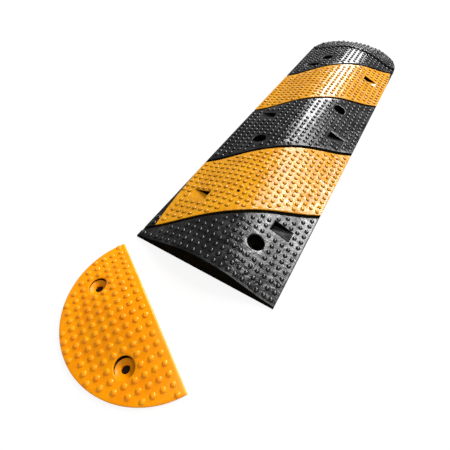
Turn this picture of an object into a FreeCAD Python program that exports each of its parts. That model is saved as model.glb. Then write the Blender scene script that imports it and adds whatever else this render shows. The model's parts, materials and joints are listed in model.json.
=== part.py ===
# Rubber speed bump: one cambered module with two yellow stripes, and two half-round end caps.
# Millimetres.  +Z is up, +Y runs along the bump (across the road), and the origin is the
# centre of the module's underside.  The far cap is seated; the near cap lies swung away.
import FreeCAD, Part
import math
import os

Vector = FreeCAD.Vector
UP = Vector(0, 0, 1)
ORIGIN = Vector(0, 0, 0)

# ---------------------------------------------------------------- driving dimensions
# Module
module_length = 1000.0
module_width = 300.0
crest_height = 41.0          # rubber skin at the crown, between the studs
lip_height = 5.0             # upright edge that meets the road
crown_run = 37.5             # from the crown to the corner that its arc rounds off
flat_sagitta = 0.3           # the arc is laid out in flats that keep this close to it
toe_width = 28.2             # from the foot of the flank out to the lip
toe_height = 11.1            # height at the foot of the flank

# Studs of the tread, as low four-sided frusta.  Every second row is modelled, and every
# second stud along it, staggered from row to row, which keeps the faces few.
stud_height = 3.0
stud_foot_radius = 4.8       # to its corners
stud_top_radius = 3.0
stud_root = 1.0              # how deep a stud is rooted in the rubber
stud_sides = 4
stud_step = 2
stud_pitch_across = 14.75    # of the whole tread, on the module
stud_pitch_along = 15.77
cap_stud_pitch_across = 15.1
cap_stud_pitch_along = 16.05
cap_stud_setback = 13.0      # first row, from the cap's straight side
stud_lip_clearance = 1.0     # plain rubber round a stud's foot, to the lip
stud_seam_clearance = 3.6    # to a seam's groove
stud_hole_clearance = 3.6    # to the recess of an anchor hole
stud_pocket_clearance = 8.0    # to a pocket, whose mouth stays plain

# Diagonal stripes
seam_inner_offset = 130.0    # inner seams, from the module's middle along the centre line
seam_outer_offset = 370.0    # outer seams
seam_advance = 220.0         # how far a seam moves along the bump from edge to edge
groove_width = 5.0
groove_depth = 3.0
stripe_thickness = 4.0       # coloured rubber laid over the black body
near_gap_width = 24.5        # black margin where the near stripe stops short of the lip
near_gap_length = 225.0
far_gap_width = 11.0
far_gap_length = 110.0

# Wedge pockets, in mirrored pairs down both flanks
pocket_inner_offset = 77.0   # deep end, from the centre line
pocket_length = 41.0         # across the bump
pocket_width = 24.5          # along the bump
pocket_spacing = 350.0       # from one pair to the next
pocket_relief = 1.0          # floor below the skin where it runs out on the flank

# Anchor holes, each with a flat seat for a bolt head
anchor_hole_radius = 7.0
head_recess_radius = 16.0
module_seat_height = 14.0
cap_seat_height = 7.0
module_hole_offset = 67.0
inner_hole_distance = 119.0
outer_hole_distance = 408.0
cap_hole_spacing = 150.0
cap_hole_setback = 69.0      # from the cap's straight side

# End caps
cap_setback = 1.0            # cap's edge inside the module's edge
cap_seat_gap = 0.5           # between a seated cap and the module
near_cap_swing = 31.7        # the loose cap lies turned this far, degrees
swing_centre_offset = 201.0  # centre of that turn, from the centre line, on the end plane

# Shallow grid under every piece
recess_depth = 3.0
recess_length = 54.0
rib_width = 9.0
edge_band = 18.0             # plain rubber round the rim
hole_band = 8.0              # plain rubber round an anchor hole

# ---------------------------------------------------------------- derived values
half_length = module_length / 2
half_width = module_width / 2
cap_radius = half_width - cap_setback
seam_slope = seam_advance / module_width
groove_half_run = groove_width / 2 * math.hypot(1, seam_slope)
pocket_outer_offset = pocket_inner_offset + pocket_length
clear_height = crest_height + stud_height + 10.0
clear_reach = half_width + 10.0


# ---------------------------------------------------------------- cambered section
def crown_points(shoulder, ankle):
    """Points along the arc over the crown, which runs tangent into the flank."""
    crown = Vector(0, 0, crest_height)
    flank_start = shoulder + (ankle - shoulder).normalize() * crown_run
    half_turn = (shoulder - crown).getAngle(flank_start - shoulder) / 2
    radius = crown_run / math.tan(half_turn)
    inward = ((crown + flank_start) / 2 - shoulder).normalize()
    middle = shoulder + inward * (radius / math.cos(half_turn) - radius)
    return Part.Arc(crown, middle, flank_start).toShape().discretize(Deflection=flat_sagitta)


def flank_points(reach):
    """The flank from the crown to the lip, with the arc over the crown laid out in flats."""
    shoulder = Vector(crown_run, 0, crest_height)
    ankle = Vector(reach - toe_width, 0, toe_height)
    return crown_points(shoulder, ankle) + [ankle, Vector(reach, 0, lip_height)]


def module_section():
    """Whole section of the module, in the XZ plane."""
    right = flank_points(half_width)
    left = [Vector(-point.x, 0, point.z) for point in reversed(right[1:])]
    base = [Vector(half_width, 0, 0), Vector(-half_width, 0, 0)]
    return Part.Face(Part.makePolygon(left + right + base + left[:1]))


def cap_section():
    """Section of a cap from its centre to its lip, in the XZ plane."""
    corners = [ORIGIN] + flank_points(cap_radius) + [Vector(cap_radius, 0, 0)]
    return Part.Face(Part.makePolygon(corners + corners[:1]))


def flat_under(distance, reach):
    """Height and fall of the skin at a distance from the crown."""
    points = flank_points(reach)
    for inner, outer in zip(points, points[1:]):
        if inner.x <= distance <= outer.x:
            fall = (inner.z - outer.z) / (outer.x - inner.x)
            return inner.z - fall * (distance - inner.x), fall
    return lip_height, 0.0


def lowered(shape, drop):
    copy = shape.copy()
    copy.translate(Vector(0, 0, -drop))
    return copy


def line(start, end):
    return Part.LineSegment(Vector(*start), Vector(*end)).toShape()


# ---------------------------------------------------------------- shared cuts
def box_between(x_pair, y_pair, z_pair):
    low = Vector(min(x_pair), min(y_pair), min(z_pair))
    high = Vector(max(x_pair), max(y_pair), max(z_pair))
    size = high - low
    return Part.makeBox(size.x, size.y, size.z, low)


def anchor_hole(x, y, seat_height):
    """Through hole with the recess for a bolt head above its seat."""
    shank = Part.makeCylinder(anchor_hole_radius, clear_height + 1, Vector(x, y, -1), UP)
    recess = Part.makeCylinder(head_recess_radius, clear_height, Vector(x, y, seat_height), UP)
    return shank.fuse(recess)


def stud_solid():
    """One stud about +Z, its foot at the origin and its root below it."""
    rings = []
    for height in (-stud_root, stud_height):
        share = (stud_height - height) / stud_height
        radius = stud_top_radius + share * (stud_foot_radius - stud_top_radius)
        turns = [2 * math.pi * corner / stud_sides for corner in range(stud_sides)]
        rings.append([Vector(radius * math.cos(t), radius * math.sin(t), height) for t in turns])
    low, high = rings
    outlines = [[low[k - 1], low[k], high[k], high[k - 1]] for k in range(stud_sides)]
    faces = [Part.Face(Part.makePolygon(outline + outline[:1])) for outline in outlines + rings]
    return Part.Solid(Part.Shell(faces))


def planted_stud(place, away, reach):
    """A stud square to the skin at a place, which lies away from the crown by that vector."""
    height, fall = flat_under(away.Length, reach)
    upright = away * (fall / away.Length) + UP
    stud = stud_solid()
    stud.Placement = FreeCAD.Placement(place + UP * height, FreeCAD.Rotation(UP, upright))
    return stud


def is_modelled(column, row):
    """True for every second stud of every second row, staggered from row to row."""
    return row % stud_step == 0 and (column + row // stud_step) % stud_step == 0


def clear_of_holes(x, y, holes):
    room = head_recess_radius + stud_hole_clearance + stud_foot_radius
    return all(math.hypot(x - hx, y - hy) > room for hx, hy in holes)


def grid_recesses(in_rim, holes):
    """Shallow square recesses under a piece: inside its rim and clear of its anchor holes."""
    pitch = recess_length + rib_width
    half = recess_length / 2
    columns = int(half_width // pitch) + 1
    rows = int(half_length // pitch) + 1
    boxes = []
    for column in range(-columns, columns):
        for row in range(-rows, rows):
            x = (column + 0.5) * pitch
            y = (row + 0.5) * pitch
            corners = [(x + a * half, y + b * half) for a in (-1, 1) for b in (-1, 1)]
            near_hole = any(distance_to_square(hx - x, hy - y, half) < hole_band for hx, hy in holes)
            if all(in_rim(*corner) for corner in corners) and not near_hole:
                boxes.append(box_between((x - half, x + half), (y - half, y + half), (-1, recess_depth)))
    return boxes


def distance_to_square(x, y, half):
    """Clearance between an anchor hole centred at x, y and a square about the origin."""
    return math.hypot(max(abs(x) - half, 0), max(abs(y) - half, 0)) - anchor_hole_radius


# ---------------------------------------------------------------- module
def seam_band(low_offset, high_offset):
    """Upright slab between two diagonal lines that cross the middle at those offsets."""
    run = seam_slope * clear_reach
    corners = [
        Vector(-clear_reach, low_offset - run, -1),
        Vector(clear_reach, low_offset + run, -1),
        Vector(clear_reach, high_offset + run, -1),
        Vector(-clear_reach, high_offset - run, -1),
    ]
    outline = Part.makePolygon(corners + corners[:1])
    return Part.Face(outline).extrude(UP * (clear_height + 1))


def black_margin(side, gap_width, gap_length):
    """Slab over a stripe's sharp corner, where the coloured rubber stops short of the lip."""
    edge_x = side * half_width
    out_x = side * clear_reach
    corner_y = side * (seam_outer_offset + seam_slope * half_width)
    start = Vector(edge_x - side * gap_width, corner_y + side * gap_width, -1)
    bend = Vector(edge_x - side * gap_width / 6, corner_y - side * gap_length / 3, -1)
    tip = Vector(edge_x, corner_y - side * gap_length, -1)
    curve = Part.BezierCurve()
    curve.setPoles([start, bend, tip])
    edges = [
        curve.toShape(),
        line(tip, (out_x, tip.y, -1)),
        line((out_x, tip.y, -1), (out_x, start.y, -1)),
        line((out_x, start.y, -1), start),
    ]
    return Part.Face(Part.Wire(edges)).extrude(UP * (clear_height + 1))


def pocket_boxes(side, y, liner):
    """A wedge pocket, level floored and open at its outer end, with a liner's room added."""
    floor = flat_under(pocket_outer_offset, half_width)[0] - pocket_relief - liner
    half = pocket_width / 2 + liner
    span = (side * (pocket_inner_offset - liner), side * pocket_outer_offset)
    return box_between(span, (y - half, y + half), (floor, clear_height))


def stripe_margin(side):
    if side < 0:
        return black_margin(side, near_gap_width, near_gap_length)
    return black_margin(side, far_gap_width, far_gap_length)


def stripe(hump, side):
    """Coloured stripe: a layer over the body that also lines the pocket in its path."""
    offsets = sorted((side * seam_inner_offset, side * seam_outer_offset))
    band = hump.common(seam_band(offsets[0] + groove_half_run, offsets[1] - groove_half_run))
    layer = band.cut(lowered(hump, stripe_thickness))
    liner = band.common(pocket_boxes(side, side * pocket_spacing, stripe_thickness))
    void = pocket_boxes(side, side * pocket_spacing, 0.0)
    return layer.fuse(liner).cut([void, stripe_margin(side)]).removeSplitter()


def seam_crossing(x, y):
    """Where a line through a place, parallel to the seams, crosses the centre line."""
    return y - seam_slope * x


def clear_of_seams(x, y):
    crossing = abs(seam_crossing(x, y))
    gap = min(abs(crossing - offset) for offset in (seam_inner_offset, seam_outer_offset))
    room = groove_width / 2 + stud_seam_clearance + stud_foot_radius
    return gap / math.hypot(1, seam_slope) > room


def clear_of_pockets(x, y):
    across = max(pocket_inner_offset - abs(x), abs(x) - pocket_outer_offset, 0)
    nearest = min(abs(abs(y) - row_distance) for row_distance in (0.0, pocket_spacing))
    along = max(nearest - pocket_width / 2, 0)
    return math.hypot(across, along) > stud_pocket_clearance + stud_foot_radius


def piece_under(x, y):
    """Name of the piece that carries a stud there, or None beside a stripe's black margin."""
    crossing = seam_crossing(x, y)
    if not seam_inner_offset < abs(crossing) < seam_outer_offset:
        return "module_body"
    side = 1 if crossing > 0 else -1
    gap = stripe_margin(side).distToShape(Part.Vertex(x, y, 0))[0]
    if gap < stud_foot_radius + stud_lip_clearance:
        return None
    return "far_stripe" if side > 0 else "near_stripe"


def module_studs(holes):
    """Studs of the module's tread, listed by the piece that carries them."""
    rim = stud_lip_clearance + stud_foot_radius
    columns = int((half_width - rim) / stud_pitch_across + 0.5)
    rows = int((half_length - rim) / stud_pitch_along)
    studs = {"module_body": [], "near_stripe": [], "far_stripe": []}
    for column in range(-columns, columns):
        x = (column + 0.5) * stud_pitch_across
        for row in range(-rows, rows + 1):
            y = row * stud_pitch_along
            clear = clear_of_seams(x, y) and clear_of_pockets(x, y) and clear_of_holes(x, y, holes)
            if not (is_modelled(column, row) and clear):
                continue
            piece = piece_under(x, y)
            if piece:
                studs[piece].append(planted_stud(Vector(x, y, 0), Vector(x, 0, 0), half_width))
    return studs


def module_body(hump, stripes, holes):
    cuts = list(stripes)
    shell = hump.cut(lowered(hump, groove_depth))
    for offset in (seam_inner_offset, seam_outer_offset):
        for side in (-1, 1):
            middle = side * offset
            band = seam_band(middle - groove_half_run, middle + groove_half_run)
            cuts.append(shell.common(band))
    for side in (-1, 1):
        for row in (-1, 0, 1):
            cuts.append(pocket_boxes(side, row * pocket_spacing, 0.0))
    cuts += [anchor_hole(x, y, module_seat_height) for x, y in holes]

    def in_rim(x, y):
        return abs(x) < half_width - edge_band and abs(y) < half_length - edge_band

    return hump.cut(cuts + grid_recesses(in_rim, holes))


# ---------------------------------------------------------------- end caps
def end_cap():
    """Half-round cap: the section turned through half a circle about the crown's end."""
    dome = cap_section().revolve(ORIGIN, UP, 180)
    holes = [(side * cap_hole_spacing / 2, cap_hole_setback) for side in (-1, 1)]

    def in_rim(x, y):
        return math.hypot(x, y) < cap_radius - edge_band and y > 0

    cuts = [anchor_hole(x, y, cap_seat_height) for x, y in holes]
    return dome.cut(cuts + grid_recesses(in_rim, holes)).fuse(cap_studs(holes))


def cap_studs(holes):
    rim = stud_lip_clearance + stud_foot_radius
    columns = int(cap_radius / cap_stud_pitch_across) + 1
    rows = int((cap_radius - cap_stud_setback) / cap_stud_pitch_along) + 1
    studs = []
    for column in range(-columns, columns):
        for row in range(rows):
            place = Vector((column + 0.5) * cap_stud_pitch_across,
                           cap_stud_setback + row * cap_stud_pitch_along, 0)
            in_lip = place.Length < cap_radius - rim
            if is_modelled(column, row) and in_lip and clear_of_holes(place.x, place.y, holes):
                studs.append(planted_stud(place, place, cap_radius))
    return studs


def far_cap():
    cap = end_cap()
    cap.translate(Vector(0, half_length + cap_seat_gap, 0))
    return cap


def near_cap():
    """The loose cap, swung away from its seat about a point on the end plane."""
    cap = end_cap()
    cap.rotate(ORIGIN, UP, 180)
    cap.translate(Vector(0, -half_length - cap_seat_gap, 0))
    swing_centre = Vector(-swing_centre_offset, -half_length - cap_seat_gap, 0)
    cap.rotate(swing_centre, UP, -near_cap_swing)
    return cap


# ---------------------------------------------------------------- build
def build():
    section = module_section()
    section.translate(Vector(0, -half_length, 0))
    hump = section.extrude(Vector(0, module_length, 0))
    near_stripe = stripe(hump, -1)
    far_stripe = stripe(hump, 1)
    holes = [
        (side * module_hole_offset * turn, side * distance)
        for distance, turn in ((inner_hole_distance, 1), (outer_hole_distance, -1))
        for side in (-1, 1)
    ]
    studs = module_studs(holes)
    body = module_body(hump, [near_stripe, far_stripe], holes)
    return {
        "module_body": body.fuse(studs["module_body"]),
        "near_stripe": near_stripe.fuse(studs["near_stripe"]),
        "far_stripe": far_stripe.fuse(studs["far_stripe"]),
        "near_end_cap": near_cap(),
        "far_end_cap": far_cap(),
    }


os.makedirs("parts", exist_ok=True)
for name, shape in build().items():
    shape.exportStep(f"parts/{name}.step")
    print(f"{name}: {len(shape.Solids)} solid, valid {shape.isValid()}, {shape.Volume / 1000:.0f} cm3")
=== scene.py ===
# %% [markdown]
# # A rubber speed bump, dressed for looking at
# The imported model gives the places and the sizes: one cambered module with two amber
# stripes let into it, and two half-round end caps, one seated and one lying loose.  This
# lesson builds the skin of each piece: a thin sheet is cut to the piece's outline while it
# is flat, lifted onto the camber, and given walls, rounded edges and rows of small studs.

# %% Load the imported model
import math
import json
import bmesh
import bpy
from mathutils import Matrix, Vector

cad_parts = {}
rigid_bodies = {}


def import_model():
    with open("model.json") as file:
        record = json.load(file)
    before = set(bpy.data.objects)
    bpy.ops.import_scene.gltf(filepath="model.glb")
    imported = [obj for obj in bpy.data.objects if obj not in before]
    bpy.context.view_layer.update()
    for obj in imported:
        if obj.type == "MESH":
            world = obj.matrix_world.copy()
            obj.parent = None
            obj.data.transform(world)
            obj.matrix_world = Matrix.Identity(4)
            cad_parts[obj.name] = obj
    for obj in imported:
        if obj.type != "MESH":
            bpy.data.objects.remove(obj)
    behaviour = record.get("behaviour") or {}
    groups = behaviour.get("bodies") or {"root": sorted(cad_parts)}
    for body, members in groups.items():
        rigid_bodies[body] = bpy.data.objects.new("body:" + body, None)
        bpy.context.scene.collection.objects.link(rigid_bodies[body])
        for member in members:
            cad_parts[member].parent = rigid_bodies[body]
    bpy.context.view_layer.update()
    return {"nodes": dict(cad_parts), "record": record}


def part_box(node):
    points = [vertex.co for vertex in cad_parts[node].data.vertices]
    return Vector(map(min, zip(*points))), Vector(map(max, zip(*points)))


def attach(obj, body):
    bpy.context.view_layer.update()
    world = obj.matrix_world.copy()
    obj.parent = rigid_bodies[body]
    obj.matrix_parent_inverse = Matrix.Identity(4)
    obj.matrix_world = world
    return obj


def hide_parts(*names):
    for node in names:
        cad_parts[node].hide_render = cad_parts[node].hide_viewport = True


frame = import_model()

# %% [markdown]
# The camera comes first, because every later look depends on it.  It stands close to the
# near right corner, a little above knee height, with a wide lens, so the far end shrinks
# quickly.  Aiming at a point on the floor and then rolling a little is easier to read than
# a table of angles.

# %% Camera
camera_data = bpy.data.cameras.new("camera")
camera_data.lens = 25.363
camera_data.sensor_width = 36.0
camera = bpy.data.objects.new("camera", camera_data)
bpy.context.scene.collection.objects.link(camera)
camera.location = (0.17157, -0.74257, 0.52396)
aim = Vector((-0.01406, -0.38259, 0.0))
look = (aim - camera.location).to_track_quat("-Z", "Y")
roll = Matrix.Rotation(math.radians(3.402), 3, "Z")
camera.rotation_euler = (look.to_matrix() @ roll).to_euler()
bpy.context.scene.camera = camera
print("camera looks at", tuple(aim))

# %% [markdown]
# Sizes are in millimetres, as on a drawing, and each finished mesh is shrunk to metres
# once.  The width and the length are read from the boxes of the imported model's nodes, and
# the places of the anchor holes, the pockets and the loose cap from its record.

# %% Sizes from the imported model
MM = 0.001
record = frame["record"]
body_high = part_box("module_body")[1]
half_width = body_high.x / MM
half_length = body_high.y / MM
crest_height = 41.0
lip_height = 5.0
stud_height = 2.9
cap_low, cap_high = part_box("far_end_cap")
cap_radius = cap_high.x / MM
cap_seat_y = cap_low.y / MM

bores = {m["name"]: m for m in record["mounts"] if m["kind"] == "bore"}
boxes = {o["name"]: o["box_m"] for o in record["physics"]["openings"]}
placing = next(j for j in record["behaviour"]["joints"] if j["name"] == "near_cap_placing")


def hole_centres(words):
    """Centres, in millimetres, of the anchor holes whose names start with those words."""
    places = [m["pos_m"] for name, m in bores.items() if name.startswith(words)]
    return [(x / MM, y / MM) for x, y, z in places]


module_holes = hole_centres("anchor_hole")
print("module", half_width * 2, "by", half_length * 2, "holes", module_holes)

# %% [markdown]
# The section across the bump is an arc over the crown, a straight flank, a short hollow bend
# and a straight toe.  Every piece uses it, so it is one function of the distance from the
# crown.  The cap uses the same one, with its own reach, measured from its centre.

# %% Camber
crown_run = 37.5
toe_width = 28.2
toe_height = 11.1
toe_bend_run = 6.0


def skin(distance, reach):
    """Height of the rubber skin, in millimetres, at a distance from the crown."""
    distance = min(abs(distance), reach)
    bend = reach - toe_width
    flank = math.atan((crest_height - toe_height) / (bend - crown_run))
    toe = math.atan((toe_height - lip_height) / toe_width)
    crown_radius = crown_run / math.tan(flank / 2)
    toe_radius = toe_bend_run / math.tan((flank - toe) / 2)
    arc_end = crown_run + crown_run * math.cos(flank)
    bend_start = bend - toe_bend_run * math.cos(flank)
    bend_end = bend + toe_bend_run * math.cos(toe)
    if distance <= arc_end:
        return crest_height - crown_radius + math.sqrt(crown_radius ** 2 - distance ** 2)
    if distance <= bend_start:
        return crest_height - math.tan(flank) * (distance - crown_run)
    if distance <= bend_end:
        across = bend_end + toe_radius * math.sin(toe) - distance
        end_height = toe_height - toe_bend_run * math.sin(toe)
        return end_height + toe_radius * math.cos(toe) - math.sqrt(toe_radius ** 2 - across ** 2)
    return toe_height - math.tan(toe) * (distance - bend)


for distance in (0, 60, 120, 150):
    print("skin at", distance, "is", round(skin(distance, half_width), 2))

# %% [markdown]
# The stripes are cut by four slanting seams.  A seam is a straight line in plan, so it is
# described by where it crosses the centre line and by how far it climbs from edge to edge.
# A narrow groove runs along each seam, with black rubber at its bottom.

# %% Seams
seam_slope = 220.0 / 300.0
seam_stretch = math.hypot(1, seam_slope)
seam_offsets = (-370.0, -130.0, 130.0, 370.0)
groove_width = 8.0
groove_depth = 3.0
seam_normal = Vector((-seam_slope, 1, 0)).normalized()


def seam_distance(x, y, offset):
    """Distance of a point from a seam's centre line, positive on its far side."""
    return (y - seam_slope * x - offset) / seam_stretch


print("seams climb", round(math.degrees(math.atan(seam_slope)), 1), "degrees")

# %% [markdown]
# A flat sheet is easy to cut: `bisect_plane` takes an upright plane and slices every face it
# meets.  The sheet starts as a grid, because the camber needs a vertex every few millimetres
# across the bump.  A cut can be kept to a few faces, so that work round one hole leaves the
# rest of the sheet alone.

# %% Flat sheets and straight cuts
cut_snap = 0.0005


def flat_grid(low, high, step_x, step_y):
    """A flat sheet of rubber between two corners, as a bmesh grid."""
    bm = bmesh.new()
    size = (high[0] - low[0], high[1] - low[1])
    middle = Vector((low[0] + high[0], low[1] + high[1], 0)) / 2
    place = Matrix.Translation(middle) @ Matrix.Diagonal((size[0] / 2, size[1] / 2, 1, 1))
    columns, rows = max(1, round(size[0] / step_x)), max(1, round(size[1] / step_y))
    bmesh.ops.create_grid(bm, x_segments=columns, y_segments=rows, size=1, matrix=place)
    return bm


def cut(bm, point, normal, faces=None, drop_outer=False):
    """Slice the sheet, or some of its faces, along an upright plane."""
    chosen = list(bm.faces if faces is None else faces)
    edges = dict.fromkeys(e for f in chosen for e in f.edges)
    verts = dict.fromkeys(v for f in chosen for v in f.verts)
    spot = Vector((point[0], point[1], 0))
    bmesh.ops.bisect_plane(bm, geom=[*verts, *edges, *chosen], dist=cut_snap, plane_co=spot,
                           plane_no=Vector((normal[0], normal[1], 0)), clear_outer=drop_outer)


def faces_near(bm, centre, reach):
    """Faces with a corner inside a square window."""
    return [f for f in bm.faces if any(abs(v.co.x - centre[0]) < reach
                                       and abs(v.co.y - centre[1]) < reach for v in f.verts)]


trial = flat_grid((0, 0), (10, 20), 5, 5)
print("a 10 by 20 mm trial sheet in 5 mm steps has", len(trial.faces), "faces")

# %% [markdown]
# Moulded rubber has no sharp edges.  Where the sheet ends, it is cut a few more times,
# closely, beside the edge, and those strips are let down along a quarter circle when the
# sheet is lifted.  The cuts and the lift read the same steps and radii, so they agree.

# %% Rounded edges
round_steps = (0.08, 0.29, 0.62, 1.0)


def edge_drop(distance, radius):
    """How far a quarter-round edge of that radius has fallen at a distance inside it."""
    if distance >= radius:
        return 0.0
    inside = radius - max(distance, 0.0)
    return radius - math.sqrt(radius ** 2 - inside ** 2)


def lift(bm, height, edges):
    """Raise a flat sheet onto its camber, with a drop along each (distance, radius) edge."""
    for v in bm.verts:
        x, y = v.co.x, v.co.y
        drops = [edge_drop(distance(x, y), radius) for distance, radius in edges]
        v.co.z = height(x, y) - max(drops, default=0.0)


print("drop at the very edge of a 2 mm round:", edge_drop(0, 2))

# %% [markdown]
# An anchor hole is opened in a few moves.  A square window is cut out of the grid, a circle
# is drawn in it, and `bridge_loops` fills the space between the two, whatever number of
# corners each has.  The circle's edge is then extruded inwards in small rings, which will
# become the rounded rim.

# %% A window in a sheet
cut_reach = 6.0


def middle_of(low, high):
    """The middle of the rectangle between two corners."""
    return (low[0] + high[0]) / 2, (low[1] + high[1]) / 2


def boundary_near(bm, centre, reach):
    """Open edges of the sheet whose middles lie inside a square window."""
    def inside(e):
        middle = (e.verts[0].co + e.verts[1].co) / 2
        return abs(middle.x - centre[0]) < reach and abs(middle.y - centre[1]) < reach
    return [e for e in bm.edges if e.is_boundary and inside(e)]


def cut_window(bm, low, high):
    """Cut a rectangle out of the sheet with four upright planes."""
    reach = max(high[0] - low[0], high[1] - low[1]) / 2 + cut_reach
    for point, normal in ((low, (-1, 0)), (high, (1, 0)), (low, (0, -1)), (high, (0, 1))):
        cut(bm, point, normal, faces_near(bm, middle_of(low, high), reach))
    gone = [f for f in bm.faces if low[0] < f.calc_center_median().x < high[0]
            and low[1] < f.calc_center_median().y < high[1]]
    bmesh.ops.delete(bm, geom=gone, context="FACES")


print("a window from 0 to 10 by 20 mm has its middle at", middle_of((0, 0), (10, 20)))

# %% Round and square openings
circle_corners = 48
window_margin = 1.5
pocket_reach = 8.0
ring_reach = 4.0


def extrude(bm, edges):
    """Extrude open edges, and return the new vertices and the new open edges."""
    grown = bmesh.ops.extrude_edge_only(bm, edges=edges)["geom"]
    verts = [g for g in grown if isinstance(g, bmesh.types.BMVert)]
    return verts, [g for g in grown if isinstance(g, bmesh.types.BMEdge) and g.is_boundary]


def narrow(bm, ring, centre, share):
    """Extrude a ring of edges inwards, towards a centre, and return the new ring."""
    verts, ring = extrude(bm, ring)
    place = Matrix.Translation(Vector((*centre, 0)))
    bmesh.ops.scale(bm, vec=(share, share, 1), space=place.inverted(), verts=verts)
    return ring


def draw_rings(bm, centre, radii):
    """Narrow an opening from its present edge to a circle, then ring by ring inwards."""
    place = Matrix.Translation(Vector((*centre, 0)))
    window = boundary_near(bm, centre, radii[0] + ring_reach)
    made = bmesh.ops.create_circle(bm, segments=circle_corners, radius=radii[0], matrix=place)
    ring = list(dict.fromkeys(e for v in made["verts"] for e in v.link_edges))
    bmesh.ops.bridge_loops(bm, edges=window + ring)
    for before, after in zip(radii, radii[1:]):
        ring = narrow(bm, ring, centre, after / before)


def open_hole(bm, centre, radius, rim):
    """A round opening with closely spaced rings for its rounded rim."""
    half = radius + rim + window_margin
    cut_window(bm, (centre[0] - half, centre[1] - half), (centre[0] + half, centre[1] + half))
    draw_rings(bm, centre, [radius + rim * step for step in reversed(round_steps)] + [radius])


def open_pocket(bm, low, high, rim):
    """A rectangular opening with cuts beside its sides for the rounded rim."""
    reach = (high[0] - low[0]) / 2 + pocket_reach
    for out in [rim * step for step in round_steps]:
        for point, normal in (((low[0] - out, 0), (1, 0)), ((high[0] + out, 0), (1, 0)),
                              ((0, low[1] - out), (0, 1)), ((0, high[1] + out), (0, 1))):
            cut(bm, point, normal, faces_near(bm, middle_of(low, high), reach))
    cut_window(bm, low, high)


print("openings have", circle_corners, "corners when round")

# %% [markdown]
# A wall is the sheet's open edge drawn down.  The edge is extruded, which copies it and joins
# the copy with new faces, and then each new vertex is set to the height where that wall
# ends: the road, a groove's bottom, a bolt head's seat or a pocket's floor.

# %% Walls
def paint(edges, material):
    """Give a finish to the faces that end at those open edges."""
    for edge in edges:
        edge.link_faces[0].material_index = material


def draw_down(bm, edges, foot):
    """Extrude open edges into walls that end at foot(x, y), and return the new open edges."""
    verts, bottom = extrude(bm, edges)
    for v in verts:
        v.co.z = foot(v.co.x, v.co.y)
    return bottom


def face_up(bm):
    """Make every face of a lifted sheet and its walls look outwards."""
    bmesh.ops.recalc_face_normals(bm, faces=bm.faces)
    bm.normal_update()
    if sum(f.normal.z * f.calc_area() for f in bm.faces) < 0:
        bmesh.ops.reverse_faces(bm, faces=bm.faces)


draw_down(trial, [e for e in trial.edges if e.is_boundary], lambda x, y: -5.0)
print("with its walls the trial sheet has", len(trial.faces), "faces")
trial.free()

# %% [markdown]
# The studs stand in square rows all over the tread.  One stud is a low dome of four rings
# and a point, copied onto each place of the grid and tilted to the rubber under it.  With
# about a thousand of them, twelve corners to a ring are plenty.  Every piece has its own
# rubber, a near-black one that is painted shade on walls and hollows, and one extra; the body
# and the caps have a shiny one too, for domes that are worn smooth.  A stud's foot takes one
# of the first three; on the black pieces and the amber stripes that is painted shade round the
# foot.

# %% One stud and its copies
stud_radius = 5.0
stud_corners = 12
stud_sink = 0.4
ring_radii_and_rises = ((4.6, 1.6), (3.5, 1.05), (1.8, 0.5))
# DARK is a near-black finish, used mostly as painted shade; EXTRA differs piece by piece.
OWN, DARK, EXTRA, SHINY = 0, 1, 2, 3


def stud_mesh(foot, dome):
    """A low dome on a steep foot, each of its own finish, closed below, about the origin."""
    bm = bmesh.new()
    circle = bmesh.ops.create_circle(bm, segments=stud_corners, radius=stud_radius, cap_ends=True)
    bmesh.ops.translate(bm, vec=(0, 0, -stud_sink), verts=circle["verts"])
    ring, radius = list(bm.edges), stud_radius
    for next_radius, rise in ring_radii_and_rises:
        verts, ring = extrude(bm, ring)
        share = next_radius / radius
        bmesh.ops.scale(bm, vec=(share, share, 1), verts=verts)
        bmesh.ops.translate(bm, vec=(0, 0, rise), verts=verts)
        radius = next_radius
    verts, _ = extrude(bm, ring)
    bmesh.ops.pointmerge(bm, verts=verts, merge_co=Vector((0, 0, stud_height)))
    # The foot ring takes the foot's finish; on the black pieces and the amber stripes that is
    # painted shade round the stud's foot.
    for face in bm.faces:
        face.material_index = foot if min(v.co.z for v in face.verts) < 0 else dome
    bmesh.ops.recalc_face_normals(bm, faces=bm.faces)
    mesh = bpy.data.meshes.new("one_stud")
    bm.to_mesh(mesh)
    bm.free()
    return mesh


studs = {foot: stud_mesh(foot, dome) for foot, dome in ((OWN, SHINY), (DARK, SHINY), (EXTRA, OWN))}


def add_studs(bm, places, height, foot, stretch=1.0):
    """Copy a stud, stretched upwards, onto each (x, y) place of the surface height(x, y)."""
    for x, y in places:
        slope_x = (height(x + 1, y) - height(x - 1, y)) / 2
        slope_y = (height(x, y + 1) - height(x, y - 1)) / 2
        upright = Vector((-slope_x, -slope_y, 1)).normalized()
        turn = upright.to_track_quat("Z", "Y").to_matrix().to_4x4()
        first_vert = len(bm.verts)
        bm.from_mesh(studs[foot])
        bm.verts.ensure_lookup_table()
        size = Matrix.Diagonal((1, 1, stretch, 1))
        place = Matrix.Translation(Vector((x, y, height(x, y)))) @ turn @ size
        bmesh.ops.transform(bm, matrix=place, verts=bm.verts[first_vert:])


print("one stud has", len(studs[OWN].polygons), "faces")

# %% [markdown]
# The stripes stop short of the lip at their sharp corners, where the black body shows as a
# margin that tapers away.  Its edge is a soft curve, written over a share from nought to
# one, so the share that belongs to a place along the lip is found by halving.

# %% Black margins at the sharp corners
margins = {"near": (24.5, 225.0), "far": (11.0, 110.0)}
halvings = 24
corner_y = seam_offsets[0] - seam_slope * half_width


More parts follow.
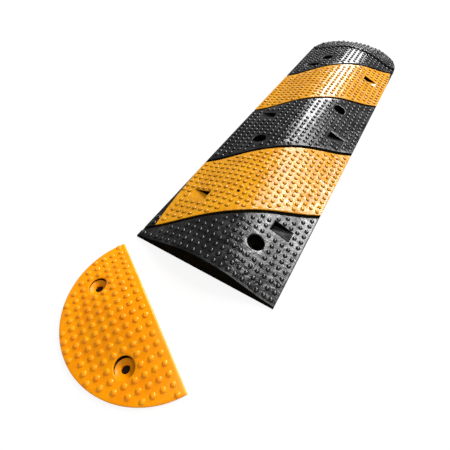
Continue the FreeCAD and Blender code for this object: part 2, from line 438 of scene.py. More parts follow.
def margin_width(along, size):
    """Width of the black margin at a distance along the lip from the sharp corner."""
    width, length = size
    low, high = 0.0, 1.0
    for _ in range(halvings):
        t = (low + high) / 2
        reached = t ** 2 * length + 2 * t * (1 - t) * length / 3 - (1 - t) ** 2 * width
        low, high = (t, high) if reached < along else (low, t)
    return (1 - low) ** 2 * width + 2 * low * (1 - low) * width / 6


def margin_edge(y, size):
    """Place across the bump where the near stripe's rubber starts, at its left lip."""
    along = y - corner_y
    return -half_width + (margin_width(along, size) if along < size[1] else 0.0)


print("margin 10 mm from the corner:", round(margin_width(10, margins["near"]), 1), "mm wide")

# %% [markdown]
# Studs keep clear of the seams, the pockets and the anchor holes.  The whole grid is worked
# out once, and then each field takes the places that lie on its own rubber.  One stud has
# been torn off the near stripe and one is missing from the middle field.

# %% Stud places on the module
stud_pitch = (14.75, 15.77)
stud_rows = 63
stud_columns = range(-10, 10)
seam_clearance = 10.5
hole_clearance = 24.0
pocket_clearance = 5.5
gap_clearance = 4.0
pocket_low_x, pocket_high_x = 77.0, 118.0
pocket_half_width = 12.25
opening_lift = 0.5
torn_stud = (-22.1, -315.5)
missing_stud = (7.4, 31.4)


def pocket_corners(box):
    """Low and high corners of a pocket's opening, from the clear space in the record."""
    side = 1 if box[0][0] > 0 else -1
    y = (box[0][1] + box[1][1]) / 2 / MM
    across = sorted((side * pocket_low_x, side * pocket_high_x))
    return (across[0], y - pocket_half_width), (across[1], y + pocket_half_width)


pockets = {name: pocket_corners(box) for name, box in boxes.items()}
pocket_floor = boxes["pocket_near_right"][0][2] / MM - opening_lift


def outside_box(x, y, low, high):
    """Distance of a point from a rectangle, nought inside it."""
    return math.hypot(max(low[0] - x, x - high[0], 0), max(low[1] - y, y - high[1], 0))


def nearest(x, y, places):
    """Distance of a point from the nearest of several places."""
    return min(math.hypot(x - px, y - py) for px, py in places)


def is_clear(x, y):
    """True where a stud has room on the module."""
    seams = min(abs(seam_distance(x, y, offset)) for offset in seam_offsets)
    squares = min(outside_box(x, y, *corners) for corners in pockets.values())
    return (seams > seam_clearance and squares > pocket_clearance
            and nearest(x, y, module_holes) > hole_clearance
            and nearest(x, y, (torn_stud, missing_stud)) > gap_clearance)


stud_grid = [((column + 0.5) * stud_pitch[0], (row - (stud_rows - 1) / 2) * stud_pitch[1])
             for column in stud_columns for row in range(stud_rows)]
stud_places = [place for place in stud_grid if is_clear(*place)]
print(len(stud_places), "studs on the module")

# %% [markdown]
# Each field of the module is bounded by straight sides: a seam or an end across the bump,
# and the two lips.  A side is a point on it, the direction that points off the rubber, and
# the radius of its rounded edge.  Cutting and lifting both read that one list.

# %% Sides of a field
lip_round = 1.2
end_round = 3.4
seam_round = 1.6
hole_round = 2.4
pocket_round = 1.6
half_groove = groove_width / 2
joint_shade_width = 6.0


def seam_side(offset, direction, radius=seam_round):
    """The edge of a field that ends at a seam's groove, on its near (-1) or far (+1) side."""
    return (0, offset + direction * half_groove * seam_stretch), -direction * seam_normal, radius


def lip_side(side, radius=lip_round):
    return (side * half_width, 0), Vector((side, 0, 0)), radius


def end_side(side):
    return (0, side * half_length), Vector((0, side, 0)), end_round


def inward_distance(side):
    """A function that measures how far inside a straight side a point lies."""
    point, normal, radius = side
    return lambda x, y: -((x - point[0]) * normal.x + (y - point[1]) * normal.y)


print("a seam's side lies", half_groove, "mm off its centre line")

# %% Trimmed sheets, and distances from openings
sheet_step = (4.9, 15.6)


def inset(side, distance):
    """A point at that distance onto the rubber from a straight side."""
    point, normal, radius = side
    return point[0] - normal.x * distance, point[1] - normal.y * distance


def trimmed_sheet(sides, low, high):
    """A flat grid cut to its straight sides, with narrow strips for the rounded edges."""
    bm = flat_grid(low, high, *sheet_step)
    for point, normal, radius in sides:
        cut(bm, point, normal, drop_outer=True)
    for side in sides:
        for step in round_steps:
            cut(bm, inset(side, side[2] * step), side[1])
    return bm


def module_skin(x, y):
    return skin(x, half_width)


def round_hole(centre, radius):
    """Distance of a point outside a round opening."""
    return lambda x, y: math.hypot(x - centre[0], y - centre[1]) - radius


def square_hole(low, high):
    return lambda x, y: outside_box(x, y, low, high)


print("a field's sheet has", len(round_steps), "cuts beside each side")

# %% [markdown]
# A field is opened flat and lifted, and then its openings and its outline get their walls.
# The outline's wall ends on the road at the lips and ends, and just under the groove's
# bottom at a seam.  An anchor hole is a wide recess for the bolt's head, a level seat, and
# a narrower way through.  The walls are painted near-black as shade, and the floors of the
# body's pockets a lighter grey that is partly dust and partly painted light.

# %% Opening and lifting a field
recess_radius = 16.0
edge_reach = 1.0


def open_and_lift(bm, height, edges, holes=(), squares=()):
    """Open the holes and pockets of a flat sheet and lift it onto the camber."""
    for centre in holes:
        open_hole(bm, centre, recess_radius, hole_round)
        edges.append((round_hole(centre, recess_radius), hole_round))
    for low, high in squares:
        open_pocket(bm, low, high, pocket_round)
        edges.append((square_hole(low, high), pocket_round))
    lift(bm, height, edges)


def outline(bm, holes=()):
    """The open edges of a sheet, apart from those of its anchor holes."""
    inner = {e for c in holes for e in boundary_near(bm, c, recess_radius + edge_reach)}
    return [e for e in bm.edges if e.is_boundary and e not in inner]


print("a bolt head's recess is", recess_radius * 2, "mm wide")

# %% Walls of a field
seat_height = 14.0
seat_chamfer = 0.6
bore_radius = 7.0
rim_shade_width = hole_round * 0.35
edge_slack = 0.01
wall_tuck = 0.4


def wall_hole(bm, centre, seat, material=OWN):
    """The recess, seat and through hole below a round opening."""
    # Painted shade: on the black pieces the inner part of the rounded rim is made near-black, as
    # shade falling into the hole.
    if material == DARK:
        reach = recess_radius + rim_shade_width
        for face in bm.faces:
            if all(math.hypot(v.co.x - centre[0], v.co.y - centre[1]) < reach for v in face.verts):
                face.material_index = DARK
    # The recess wall is painted near-black as shade on every piece; on the black pieces the seat
    # and the way through are too.
    ring = boundary_near(bm, centre, recess_radius + edge_reach)
    ring = draw_down(bm, ring, lambda x, y: seat + seat_chamfer)
    paint(ring, DARK)
    seat_radius = recess_radius - seat_chamfer
    for share in (seat_radius / recess_radius, bore_radius / seat_radius):
        ring = narrow(bm, ring, centre, share)
        paint(ring, material)
        for v in {v for e in ring for v in e.verts}:
            v.co.z = seat
    paint(draw_down(bm, ring, lambda x, y: 0.0), material)


def wall_pocket(bm, low, high, floor_material):
    """The upright sides of a pocket and its level floor."""
    rim = boundary_near(bm, middle_of(low, high), (high[0] - low[0]) / 2 + edge_reach)
    bottom = draw_down(bm, rim, lambda x, y: pocket_floor)
    # Painted shade: the pocket's walls are near-black, as shade in the hollow.
    paint(bottom, DARK)
    bmesh.ops.edgeloop_fill(bm, edges=bottom)["faces"][0].material_index = floor_material


def outline_foot(lip_foot=0.0):
    """Where the outline's wall ends: at lip_foot, or under the groove's bottom at a seam."""
    def foot(x, y):
        if abs(x) > half_width - edge_slack or abs(y) > half_length - edge_slack:
            return lip_foot
        return module_skin(x, y) - groove_depth - wall_tuck
    return foot


def wall_field(bm, holes, squares):
    """The walls of a black field's holes, pockets and outline."""
    for centre in holes:
        wall_hole(bm, centre, seat_height, DARK)
    for low, high in squares:
        # The body's pocket floors are painted a lighter grey, partly dust and partly painted light
        # on the floor.
        wall_pocket(bm, low, high, EXTRA)
    # Painted shade: the outline's walls at the seams, lips and ends are near-black.
    paint(draw_down(bm, outline(bm, holes), outline_foot()), DARK)


print("seat", seat_height, "mm up, way through", bore_radius * 2, "mm wide")

# %% [markdown]
# The black body shows as three fields, as the bottoms of the grooves, as the margins beside
# the stripes' sharp corners, and as a thin line under the stripes' lips.  The three fields
# come first: each lies between two seams, or between a seam and an end of the module.

# %% Black fields of the body
spare = 2.0


def is_in_band(x, y, low_seam, high_seam):
    after = low_seam is None or seam_distance(x, y, low_seam) > 0
    before = high_seam is None or seam_distance(x, y, high_seam) < 0
    return after and before


def black_field(low_seam, high_seam):
    """One black field between two seams, or between a seam and an end of the module."""
    near = end_side(-1) if low_seam is None else seam_side(low_seam, 1)
    far = end_side(1) if high_seam is None else seam_side(high_seam, -1)
    sides = [near, far, lip_side(-1), lip_side(1)]
    run = seam_slope * half_width
    low_y = -half_length - spare if low_seam is None else low_seam - run
    high_y = half_length + spare if high_seam is None else high_seam + run
    bm = trimmed_sheet(sides, (-half_width - spare, low_y), (half_width + spare, high_y))
    # This cut bounds the strip by the joint that is painted as shade.
    cut(bm, (0, half_length - joint_shade_width), (0, 1))
    holes = [c for c in module_holes if is_in_band(*c, low_seam, high_seam)]
    squares = [p for p in pockets.values() if is_in_band(*middle_of(*p), low_seam, high_seam)]
    open_and_lift(bm, module_skin, [(inward_distance(s), s[2]) for s in sides], holes, squares)
    wall_field(bm, holes, squares)
    face_up(bm)
    places = [p for p in stud_places if is_in_band(*p, low_seam, high_seam)]
    # The black studs' feet are painted near-black as shade.
    add_studs(bm, places, module_skin, DARK)
    return bm


def merged(parts):
    """Several bmeshes as one."""
    whole = bmesh.new()
    for part in parts:
        mesh = bpy.data.meshes.new("part")
        part.to_mesh(mesh)
        part.free()
        whole.from_mesh(mesh)
        bpy.data.meshes.remove(mesh)
    return whole


black_fields = [black_field(None, seam_offsets[0]), black_field(*seam_offsets[1:3]),
                black_field(seam_offsets[3], None)]
print("faces in the black fields:", [len(bm.faces) for bm in black_fields])

# %% [markdown]
# A groove's bottom is a narrow strip of the same sheet, let down by the groove's depth, and
# painted darker as shade in the groove.  It reaches a little under the walls on both sides,
# so no light comes through the joint.

# %% Groove bottoms and the black edge under the lips
groove_tuck = 0.35
groove_inset = 0.05
groove_spare = 8.0
groove_step_y = 40.0
strip_half_height = 0.7
strip_inset = 0.1
strip_cells = 20


def groove_bottom(offset):
    """The strip of black rubber along the bottom of one seam."""
    reach = half_width - groove_inset
    run = seam_slope * half_width + groove_spare
    bm = flat_grid((-reach, offset - run), (reach, offset + run), sheet_step[0], groove_step_y)
    for direction in (-1, 1):
        side = seam_side(offset, direction)
        cut(bm, inset(side, groove_tuck), -side[1], drop_outer=True)
    lift(bm, lambda x, y: module_skin(x, y) - groove_depth, [])
    lips = [e for e in bm.edges if e.is_boundary
            and all(abs(v.co.x) > reach - groove_inset for v in e.verts)]
    draw_down(bm, lips, lambda x, y: 0.0)
    # The black rubber of the groove's bottom is painted near-black and matte, as shade in the
    # groove.
    for face in bm.faces:
        face.material_index = DARK
    face_up(bm)
    return bm


def lip_strip(side):
    """The low black edge that shows as a line under a stripe's lip."""
    bm = bmesh.new()
    turn = Matrix.Rotation(math.radians(side * 90), 4, "Y")
    size = Matrix.Diagonal((strip_half_height, half_length - 2 * strip_inset, 1, 1))
    middle = Vector((side * (half_width - strip_inset), 0, strip_half_height))
    place = Matrix.Translation(middle) @ turn @ size
    bmesh.ops.create_grid(bm, x_segments=1, y_segments=strip_cells, size=1, matrix=place)
    return bm


black_grooves = [groove_bottom(offset) for offset in seam_offsets]
black_strips = [lip_strip(side) for side in (-1, 1)]
print("faces in one groove's bottom:", len(black_grooves[0].faces))

# %% [markdown]
# The stripes are separate amber rubber, laid over the black body.  A stripe's sheet is cut
# straight first.  Then its left end is slid along the direction of the seams until it meets
# the margin's curve, which keeps the seams straight while the end bends.  The module is the
# same from both ends, so the far stripe is made in the near one's place and turned round.

# %% Amber stripe
slide_reach = 40.0
slide_rounds = 8
margin_round = 0.9
pit_radius = 3.8
pit_round = 1.0
pit_depth = 2.5
stripe_lip_foot = 1.0


def slide_to_margin(bm, size):
    """Push the left end of a near stripe's sheet along its seams, off the black margin."""
    for v in bm.verts:
        share = (slide_reach - half_width - v.co.x) / slide_reach
        if share > 0:
            lip_y = v.co.y - seam_slope * (v.co.x + half_width)
            step = 0.0
            for _ in range(slide_rounds):
                step = margin_edge(lip_y + seam_slope * step, size) + half_width
            v.co += Vector((1, seam_slope, 0)) * share * step


def stripe_sheet(size, square, pit):
    """The near stripe's rubber, opened, lifted and walled."""
    low_seam, high_seam = seam_offsets[:2]
    sides = [seam_side(low_seam, 1), seam_side(high_seam, -1), lip_side(1)]
    run = seam_slope * half_width
    low, high = (-half_width - spare, low_seam - run), (half_width + spare, high_seam + run)
    bm = trimmed_sheet(sides + [lip_side(-1)], low, high)
    slide_to_margin(bm, size)
    edges = [(inward_distance(s), s[2]) for s in sides]
    edges.append((lambda x, y: x - margin_edge(y, size), margin_round))
    if pit:
        open_hole(bm, pit, pit_radius, pit_round)
        edges.append((round_hole(pit, pit_radius), pit_round))
    open_and_lift(bm, module_skin, edges, squares=[square])
    wall_pocket(bm, *square, OWN)
    if pit:
        rim = boundary_near(bm, pit, pit_radius + edge_reach / 2)
        bottom = draw_down(bm, rim, lambda x, y: module_skin(x, y) - pit_depth)
        bmesh.ops.edgeloop_fill(bm, edges=bottom)["faces"][0].material_index = DARK
    # Painted shade: the amber walls down into the grooves are near-black; those at the lips stay
    # amber.
    for edge in draw_down(bm, outline(bm), outline_foot(stripe_lip_foot)):
        at_lip = all(abs(v.co.x) > half_width - edge_slack for v in edge.verts)
        paint([edge], OWN if at_lip else DARK)
    face_up(bm)
    return bm


print("a stripe's lip ends", stripe_lip_foot, "mm above the road")

# %% [markdown]
# A margin is a strip of black rubber, a little lower than the stripe and tucked under its
# edge.  It starts one unit wide, and is then stretched to the width that it has there.

# %% Black margin
margin_start = 6.0
margin_spare = 20.0
margin_step = (0.25, 5.0)
margin_tuck = 1.2
margin_sunk = 0.5
margin_seam_round = 0.8
margin_lip_round = 1.0


def margin_sheet(size):
    """The black margin beside the near stripe's sharp corner."""
    end = corner_y + size[1] + margin_spare
    bm = flat_grid((0, corner_y - margin_start), (1, end), *margin_step)
    for v in bm.verts:
        v.co.x = -half_width + v.co.x * (margin_edge(v.co.y, size) + half_width + margin_tuck)
    seam = seam_side(seam_offsets[0], 1, margin_seam_round)
    cut(bm, seam[0], seam[1], drop_outer=True)
    cut(bm, inset(seam, margin_seam_round), seam[1])
    edges = [(inward_distance(s), s[2]) for s in (seam, lip_side(-1, margin_lip_round))]
    lift(bm, lambda x, y: module_skin(x, y) - margin_sunk, edges)
    draw_down(bm, outline(bm), outline_foot())
    face_up(bm)
    return bm


print("a margin lies", margin_sunk, "mm below the stripe's skin")

# %% Both stripes, with their margins and studs
half_turn = Matrix.Rotation(math.pi, 3, "Z")
own_stud_clearance = stud_radius + 0.2
margin_stud_clearance = 3.0


def beside_margin(places, size, side):
    """The studs of the near stripe's band on one side of its black margin's edge."""
    clear = own_stud_clearance if side > 0 else margin_stud_clearance
    return [p for p in places if side * (p[0] - margin_edge(p[1], size)) > clear]


stripes, black_margins = {}, []
for name, side in (("near", 1), ("far", -1)):
    size = margins[name]
    sheet = stripe_sheet(size, pockets["pocket_near_left"], torn_stud if side > 0 else None)
    margin = margin_sheet(size)
    band = [(side * x, side * y) for x, y in stud_places
            if is_in_band(side * x, side * y, *seam_offsets[:2])]
    # The margin's studs have feet painted near-black, and the stripe's studs feet painted dark
    # amber, both as shade.
    add_studs(margin, beside_margin(band, size, -1), module_skin, DARK)
    add_studs(sheet, beside_margin(band, size, 1), module_skin, EXTRA)
    if side < 0:
        for bm in (sheet, margin):
            bmesh.ops.rotate(bm, cent=(0, 0, 0), matrix=half_turn, verts=bm.verts)
    stripes[name] = sheet
    black_margins.append(margin)
print("faces in the stripes:", {name: len(bm.faces) for name, bm in stripes.items()})

# %% [markdown]
# The underside of every piece is a shallow grid of square recesses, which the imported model
# already has in its right shape.  Its lowest faces are copied, with the doubled corners of
# the import merged first, and the rest of the copy is thrown away.

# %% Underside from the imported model
grid_top = 3.1 * MM
outer_wall = (half_width - 0.05) * MM
weld = 1e-6


def underside(node):
    """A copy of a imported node's underside: its base and the recesses in it, in millimetres."""
    bm = bmesh.new()
    bm.from_mesh(frame["nodes"][node].data)
    bmesh.ops.remove_doubles(bm, verts=bm.verts, dist=weld)
    gone = [f for f in bm.faces if max(v.co.z for v in f.verts) > grid_top
            or all(abs(v.co.x) > outer_wall for v in f.verts)]
    bmesh.ops.delete(bm, geom=gone, context="FACES")
    bmesh.ops.scale(bm, vec=(1 / MM,) * 3, verts=bm.verts)
    return bm


undersides = {node: underside(node) for node in ("module_body", "near_end_cap", "far_end_cap")}
print("faces underneath:", {node: len(bm.faces) for node, bm in undersides.items()})

# %% [markdown]
# An end cap is half of a dome.  A row of vertices from the centre to the rim is spun through
# half a turn, still flat, and then it is treated as the fields are: opened, lifted onto the
# same camber measured from its centre, and walled.  A strip along its straight side is
# painted: near-black on the seated cap, as the joint's shadow, and pale on the loose one, as
# a painted highlight along its rounded edge.  The outer studs of the seated cap stand a
# little taller than the others.

# %% Studs and flat shape of an end cap
cap_seat_height = 7.0
cap_stud_pitch = (15.1, 16.05)
cap_stud_rows = 9
first_row_y = 13.0
cap_rim_clearance = 4.5
cap_hole_clearance = 21.0
cap_hole_places = [(side * 75.0, 69.0) for side in (-1, 1)]
cap_straight_round = 3.6
cap_joint_shade_width = 8.0
cap_lip_round = 1.4
cap_rings = 28
cap_spin_steps = 72
cap_weld = 0.001


def cap_skin(x, y):
    return skin(math.hypot(x, y), cap_radius)


def half_disc():
    """A flat half disc with closely spaced rings at its rim and lines at its straight side."""
    bm = bmesh.new()
    radii = [cap_radius * ring / cap_rings for ring in range(cap_rings)]
    radii += [cap_radius - cap_lip_round * step for step in reversed(round_steps)] + [cap_radius]
    row = [bm.verts.new((radius, 0, 0)) for radius in radii]
    lines = [bm.edges.new(pair) for pair in zip(row, row[1:])]
    bmesh.ops.spin(bm, geom=row + lines, cent=(0, 0, 0), axis=(0, 0, 1), dvec=(0, 0, 0),
                   angle=math.pi, steps=cap_spin_steps, use_merge=False, use_duplicate=False)
    bmesh.ops.remove_doubles(bm, verts=bm.verts, dist=cap_weld)
    # The last cut bounds the strip along the straight side that is painted as shade or highlight.
    for line in [cap_straight_round * step for step in round_steps] + [cap_joint_shade_width]:
        cut(bm, (0, line), (0, 1))
    return bm


cap_stud_grid = [((column + 0.5) * cap_stud_pitch[0], first_row_y + row * cap_stud_pitch[1])
                 for row in range(cap_stud_rows) for column in stud_columns]
cap_studs = [p for p in cap_stud_grid if math.hypot(*p) < cap_radius - cap_rim_clearance
             and nearest(*p, cap_hole_places) > cap_hole_clearance]
print("a cap has", len(cap_studs), "studs")

# %% One end cap, in its own place
edge_paint_spare = 0.1
crest_reach = 70.0


def cap_piece(edge_width, edge_material, foot, stretch):
    """An end cap whose straight side lies along y = 0 and has its own finish to that width."""
    bm = half_disc()
    edges = [(lambda x, y: y, cap_straight_round),
             (lambda x, y: cap_radius - math.hypot(x, y), cap_lip_round)]
    open_and_lift(bm, cap_skin, edges, cap_hole_places)
    for centre in cap_hole_places:
        wall_hole(bm, centre, cap_seat_height)
    draw_down(bm, outline(bm, cap_hole_places), lambda x, y: 0.0)
    # The strip along the straight side takes edge_material: painted shade on the seated cap, a
    # painted highlight on the loose one.
    for face in bm.faces:
        if edge_slack < max(v.co.y for v in face.verts) < edge_width + edge_paint_spare:
            face.material_index = edge_material
    face_up(bm)
    outer = [p for p in cap_studs if math.hypot(*p) >= crest_reach]
    add_studs(bm, outer, cap_skin, foot, stretch)
    add_studs(bm, [p for p in cap_studs if p not in outer], cap_skin, foot)
    return bm


print("a cap's outer studs start", crest_reach, "mm from its centre")

# %% [markdown]
# The far cap is seated: it only moves along to the module's end.  The loose cap is turned
# half round, set against the near end, and then swung away about the joint that stands in
# for picking it up, by the whole of that joint's range.

# %% Both caps in place
highlight_width = cap_straight_round * 0.62
outer_stud_stretch = 1.4


def swung_near(bm):
    """Turn the cap to face the near end, seat it, and swing it away about the joint."""
    pivot = Vector(placing["pos_m"]) / MM
    swing = Matrix.Rotation(-math.radians(placing["range_deg"][1]), 4, "Z")
    about_pivot = Matrix.Translation(pivot) @ swing @ Matrix.Translation(-pivot)
    seat = Matrix.Translation(Vector((0, -cap_seat_y, 0))) @ Matrix.Rotation(math.pi, 4, "Z")
    bmesh.ops.transform(bm, matrix=about_pivot @ seat, verts=bm.verts)
    return bm


# The seated cap's straight strip and its studs' feet are painted near-black as shade.
seated = cap_piece(cap_joint_shade_width, DARK, DARK, outer_stud_stretch)
bmesh.ops.translate(seated, vec=(0, cap_seat_y, 0), verts=seated.verts)
# The loose cap's straight strip is painted pale as a highlight on its rounded edge.
loose = swung_near(cap_piece(highlight_width, EXTRA, OWN, 1.0))
far_cap = merged([seated, undersides["far_end_cap"]])
near_cap = merged([loose, undersides["near_end_cap"]])
module_body = merged(black_fields + black_grooves + black_strips + black_margins
                     + [undersides["module_body"]])
print("faces in the body:", len(module_body.faces), "and in a cap:", len(near_cap.faces))

# %% [markdown]
# Moulded rubber is never one flat colour.  The black has grey dust lying in soft patches and
# a satin gloss that changes from place to place; the amber is even, with a little dirt.  The
# same recipe in other colours makes the near-black painted shade on the walls, hollows and
# stud feet, the pockets' floors in a lighter grey that is partly dust and partly painted
# light, the polish on the studs' domes, a little lighter on the loose cap's as a painted
# highlight, the painted shade round the amber studs' feet and the painted highlight along
# the loose cap's straight edge.  All of it comes from noise read in the object's own
# metres, so it stays put in every view.

# %% Materials and their nodes
def new_material(name):
    """A material, its node tree and its shader."""
    material = bpy.data.materials.new(name)
    material.use_nodes = True
    return material, material.node_tree, material.node_tree.nodes["Principled BSDF"]


def add_node(tree, kind, inputs):
    """A node of that kind, with each of those inputs linked to a socket or set to a value."""
    node = tree.nodes.new("ShaderNode" + kind)
    for name, source in inputs.items():
        if isinstance(source, bpy.types.NodeSocket):
            tree.links.new(source, node.inputs[name])
        else:
            node.inputs[name].default_value = source
    return node


def object_place(tree):
    """The object's own coordinates, in metres."""
    return add_node(tree, "TexCoord", {}).outputs["Object"]


print("materials that came with the packed model:", len(bpy.data.materials))

# %% Noise, colours and bumps
patch_scale = 34.0
gloss_scale = 55.0
wave_scale = 70.0
grain_scale = 900.0
middle_low, middle_high = 0.3, 0.7


def add_noise(tree, place, scale, detail):
    """A noise texture in metres, with about that many lumps to the metre."""
    inputs = {"Vector": place, "Scale": scale, "Detail": detail}
    return add_node(tree, "TexNoise", inputs).outputs["Fac"]


def add_ramp(tree, source, stops):
    """A colour ramp over (position, colour) stops."""
    node = add_node(tree, "ValToRGB", {"Fac": source})
    ramp = node.color_ramp
    ramp.elements[0].position, ramp.elements[1].position = stops[0][0], stops[-1][0]
    for position, _ in stops[1:-1]:
        ramp.elements.new(position)
    for element, (_, colour) in zip(ramp.elements, stops):
        element.color = (*colour, 1)
    return node.outputs["Color"]


def add_span(tree, source, low, high):
    """The source's middle part, spread from low to high."""
    inputs = {"Value": source, "From Min": middle_low, "From Max": middle_high,
              "To Min": low, "To Max": high}
    return add_node(tree, "MapRange", inputs).outputs["Result"]


def add_bump(tree, height, distance, strength, before=None):
    """A bump of that height in metres, on top of an earlier one."""
    inputs = {"Height": height, "Distance": distance, "Strength": strength}
    if before is not None:
        inputs["Normal"] = before
    return add_node(tree, "Bump", inputs).outputs["Normal"]


print("lumps to the metre:", patch_scale, gloss_scale, wave_scale, grain_scale)

# %% Rubber finishes
wave_height = 0.0022
grain_height = 0.00008
grain_strength = 0.5


def rubber(name, roughness, wave, specular, colours):
    """Moulded rubber: patchy colour and gloss, a slow unevenness and a fine grain."""
    material, tree, shader = new_material(name)
    place = object_place(tree)
    patches = add_noise(tree, place, patch_scale, 5.0)
    tree.links.new(add_ramp(tree, patches, colours), shader.inputs["Base Color"])
    gloss = add_noise(tree, place, gloss_scale, 4.0)
    tree.links.new(add_span(tree, gloss, *roughness), shader.inputs["Roughness"])
    slow = add_bump(tree, add_noise(tree, place, wave_scale, 3.0), wave_height, wave)
    grain = add_noise(tree, place, grain_scale, 2.0)
    fine = add_bump(tree, grain, grain_height, grain_strength, slow)
    tree.links.new(fine, shader.inputs["Normal"])
    shader.inputs["Specular IOR Level"].default_value = specular
    return material


black_rubber = rubber("black_rubber", (0.08, 0.30), 0.52, 0.36, [
    (0.35, (0.004, 0.004, 0.0045)), (0.52, (0.009, 0.009, 0.0095)), (0.70, (0.036, 0.037, 0.039))])
# Near-black matte rubber: painted shade on walls, hollows, grooves, stud feet, the near end and
# the joint, and the black under the torn stud.
dark_and_shade_rubber = rubber("near_black_and_painted_shade", (0.7, 0.8), 0.1, 0.0, [
    (0.3, (0.003, 0.0027, 0.0018)), (0.7, (0.006, 0.0055, 0.0035))])
# Lighter grey on the pockets' floors: partly dust, partly painted light on the floor.
dust_and_light_rubber = rubber("dust_and_light_rubber", (0.3, 0.5), 0.3, 0.22, [
    (0.3, (0.014, 0.014, 0.015)), (0.7, (0.03, 0.03, 0.031))])
polished_rubber = rubber("polished_black_rubber", (0.05, 0.12), 0.2, 0.5, [
    (0.35, (0.003, 0.003, 0.0035)), (0.7, (0.006, 0.006, 0.0065))])
stripe_rubber = rubber("amber_stripe_rubber", (0.06, 0.32), 0.9, 0.36, [
    (0.30, (0.61, 0.235, 0.002)), (0.5, (0.69, 0.292, 0.003)), (0.75, (0.75, 0.335, 0.007))])
# Dark amber painted as shade round the amber studs' feet.
amber_foot_shade_rubber = rubber("amber_stud_foot_painted_shade", (0.5, 0.7), 0.2, 0.05, [
    (0.3, (0.03, 0.009, 0.0004)), (0.7, (0.09, 0.028, 0.001))])
cap_rubber = rubber("orange_cap_rubber", (0.18, 0.30), 0.12, 0.17, [
    (0.30, (0.95, 0.285, 0.0002)), (0.5, (0.99, 0.325, 0.0002)), (0.75, (1.0, 0.365, 0.0004))])
# The loose cap's stud domes: glossier, and painted a little lighter yellow as a highlight.
glossy_highlight_rubber = rubber("glossy_cap_rubber_painted_highlight", (0.08, 0.16), 0.12, 0.35, [
    (0.30, (0.97, 0.305, 0.0002)), (0.75, (1.0, 0.38, 0.0004))])
# Pale amber painted as a highlight along the loose cap's straight edge.
painted_highlight_rubber = rubber("painted_highlight_cap_rubber", (0.25, 0.4), 0.2, 0.5, [
    (0.3, (1.0, 0.40, 0.03)), (0.7, (1.0, 0.50, 0.09))])
print("finishes:", [m.name for m in bpy.data.materials])

# %% [markdown]
# Each piece is now shrunk to metres, given its finish and shaded smooth, with edges kept
# sharp where two faces meet at more than 34 degrees.  It rides on its body of the packed
# model and stands in for its node there.

# %% Finished pieces
sharp_angle = math.radians(34)
near_end_shade_reach = end_round * 0.7
joint_shade_reach = joint_shade_width + edge_paint_spare


def new_object(name, bm, materials):
    """Turn a bmesh in millimetres into an object in metres, with its finishes."""
    bmesh.ops.scale(bm, vec=(MM,) * 3, verts=bm.verts)
    mesh = bpy.data.meshes.new(name)
    bm.to_mesh(mesh)
    bm.free()
    for material in materials:
        mesh.materials.append(material)
    thing = bpy.data.objects.new(name, mesh)
    bpy.context.scene.collection.objects.link(thing)
    return thing


def finish_piece(bm, name, body, node, materials):
    """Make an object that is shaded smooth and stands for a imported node."""
    piece = new_object(name, bm, materials)
    piece.data.polygons.foreach_set("use_smooth", [True] * len(piece.data.polygons))
    piece.data.set_sharp_from_angle(angle=sharp_angle)
    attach(piece, body)
    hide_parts(node)


# Painted shade: the near end and its rounded edge, which face away from the lights, and the strip
# by the joint with the seated cap, where its shadow falls, are made near-black.
for face in module_body.faces:
    in_near_end_shade = all(v.co.y < near_end_shade_reach - half_length for v in face.verts)
    in_joint_shade = all(v.co.y > half_length - joint_shade_reach for v in face.verts)
    if in_near_end_shade or in_joint_shade:
        face.material_index = DARK
black_finishes = [black_rubber, dark_and_shade_rubber, dust_and_light_rubber, polished_rubber]
finish_piece(module_body, "black_body", "module", "module_body", black_finishes)
for name, node in (("near", "near_stripe"), ("far", "far_stripe")):
    finish_piece(stripes[name], f"{name}_amber_stripe", "module", node,
                 [stripe_rubber, dark_and_shade_rubber, amber_foot_shade_rubber])
finish_piece(near_cap, "loose_orange_cap", "near_cap", "near_end_cap",
             [cap_rubber, dark_and_shade_rubber, painted_highlight_rubber, glossy_highlight_rubber])
finish_piece(far_cap, "seated_black_cap", "far_cap", "far_end_cap", black_finishes)

# %% [markdown]
# The bump lies on a plain white floor.  To the camera and in reflections the floor is mostly
# white in itself, and the rest of it is lit, so that it keeps a soft shadow of the bump.

# %% Floor
floor_half_size = 8000.0
floor_gap = 0.5
white_share = 0.87


def white_to_camera(tree):
    """One for what the camera sees directly, in gloss or through glass, and nought for light."""
    path = add_node(tree, "LightPath", {})
    total = path.outputs["Is Camera Ray"]
    for output in ("Is Glossy Ray", "Is Transmission Ray"):
        node = add_node(tree, "Math", {0: total, 1: path.outputs[output]})
        node.operation = "MAXIMUM"
        total = node.outputs["Value"]
    return total


floor_material, tree, shader = new_material("white_floor")
shader.inputs["Base Color"].default_value = (0.9, 0.9, 0.9, 1)
shader.inputs["Roughness"].default_value = 0.9
glow = add_node(tree, "Emission", {"Strength": 1.0})
share = add_node(tree, "Math", {0: white_to_camera(tree), 1: white_share})
share.operation = "MULTIPLY"
blend = add_node(tree, "MixShader", {"Fac": share.outputs["Value"], 1: shader.outputs["BSDF"],
                                     2: glow.outputs["Emission"]})
tree.links.new(blend.outputs["Shader"], tree.nodes["Material Output"].inputs["Surface"])

floor_bm = bmesh.new()
bmesh.ops.create_grid(floor_bm, x_segments=1, y_segments=1, size=floor_half_size)
floor = new_object("floor", floor_bm, [floor_material])
floor.location.z = -floor_gap * MM
print("floor at", floor.location.z)

# %% [markdown]
# The real bump lies on dark road.  A small dark disc of it lies under each anchor hole and
# moves with its piece, as painted shade, so the holes look dark inside and not down onto a
# white studio.

# %% Road and painted shade under the anchor holes
shade_disc_radius = 11.0
shade_disc_gap = 0.2
shade_disc_corners = 32
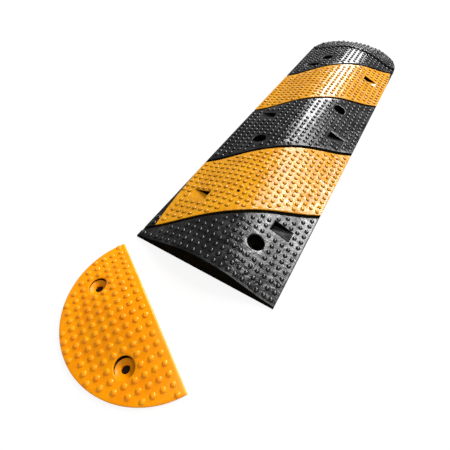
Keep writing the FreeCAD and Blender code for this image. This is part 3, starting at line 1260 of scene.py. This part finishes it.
# Painted shade: a near-black road colour seen through the holes.
hole_shade_material, tree, shader = new_material("dark_road_painted_shade")
grit = add_noise(tree, object_place(tree), grain_scale, 2.0)
hole_shade_colours = [(0.3, (0.006, 0.005, 0.004)), (0.7, (0.02, 0.018, 0.015))]
tree.links.new(add_ramp(tree, grit, hole_shade_colours), shader.inputs["Base Color"])
shader.inputs["Roughness"].default_value = 0.9
shader.inputs["Specular IOR Level"].default_value = 0.1

for body, words in (("module", "anchor_hole"), ("near_cap", "near_cap"), ("far_cap", "far_cap")):
    bm = bmesh.new()
    for x, y in hole_centres(words):
        place = Matrix.Translation(Vector((x, y, -shade_disc_gap)))
        bmesh.ops.create_circle(bm, cap_ends=True, segments=shade_disc_corners, radius=shade_disc_radius,
                                matrix=place)
    patch = new_object("shade_disc_under_" + body, bm, [hole_shade_material])
    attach(patch, body)
print("dark discs under", len(bores), "holes")

# %% [markdown]
# A broad soft light stands high beyond the far right, as a bright sky would, and lights the
# whole bump; a small brighter patch in it, as where a cloud thins, makes a sheen round the
# nearest anchor hole.  A narrower light stands lower, straight beyond the far end; it leans
# over, so that the long glare it lays along the crown drifts to the right as it goes away.
# Another, high on the right, catches the loose cap.  A plain grey world fills the shadows.

# %% Light
lamp_distance = 4.0
fill_strength = 0.26


def soft_light(name, azimuth, height, size, radiance, lean=0.0):
    """An area light seen in that direction from the bump: degrees right of +Y and upwards."""
    data = bpy.data.lights.new(name, "AREA")
    data.shape = "RECTANGLE"
    data.size, data.size_y = size
    data.energy = math.pi * radiance * size[0] * size[1]
    lamp = bpy.data.objects.new(name, data)
    bpy.context.scene.collection.objects.link(lamp)
    turn, lift_angle = math.radians(azimuth), math.radians(height)
    away = Vector((math.sin(turn) * math.cos(lift_angle), math.cos(turn) * math.cos(lift_angle),
                   math.sin(lift_angle)))
    lamp.location = away * lamp_distance
    leaning = Matrix.Rotation(math.radians(-lean), 3, "Z")
    lamp.rotation_euler = (away.to_track_quat("Z", "Y").to_matrix() @ leaning).to_euler()


soft_light("sky_light", 21, 48, (2.5, 1.5), 11.8)
soft_light("thin_cloud", 27, 48, (0.5, 0.4), 36.0)
soft_light("crown_light", -6.5, 27, (0.8, 1.6), 19.0, 24.0)
soft_light("side_light", 100, 68, (2.0, 2.0), 4.5)
world = bpy.data.worlds.new("world")
bpy.context.scene.world = world
world.use_nodes = True
fill = world.node_tree.nodes["Background"]
fill.inputs["Color"].default_value = (1, 1, 1, 1)
fill.inputs["Strength"].default_value = fill_strength
bpy.context.scene.view_settings.view_transform = "Standard"
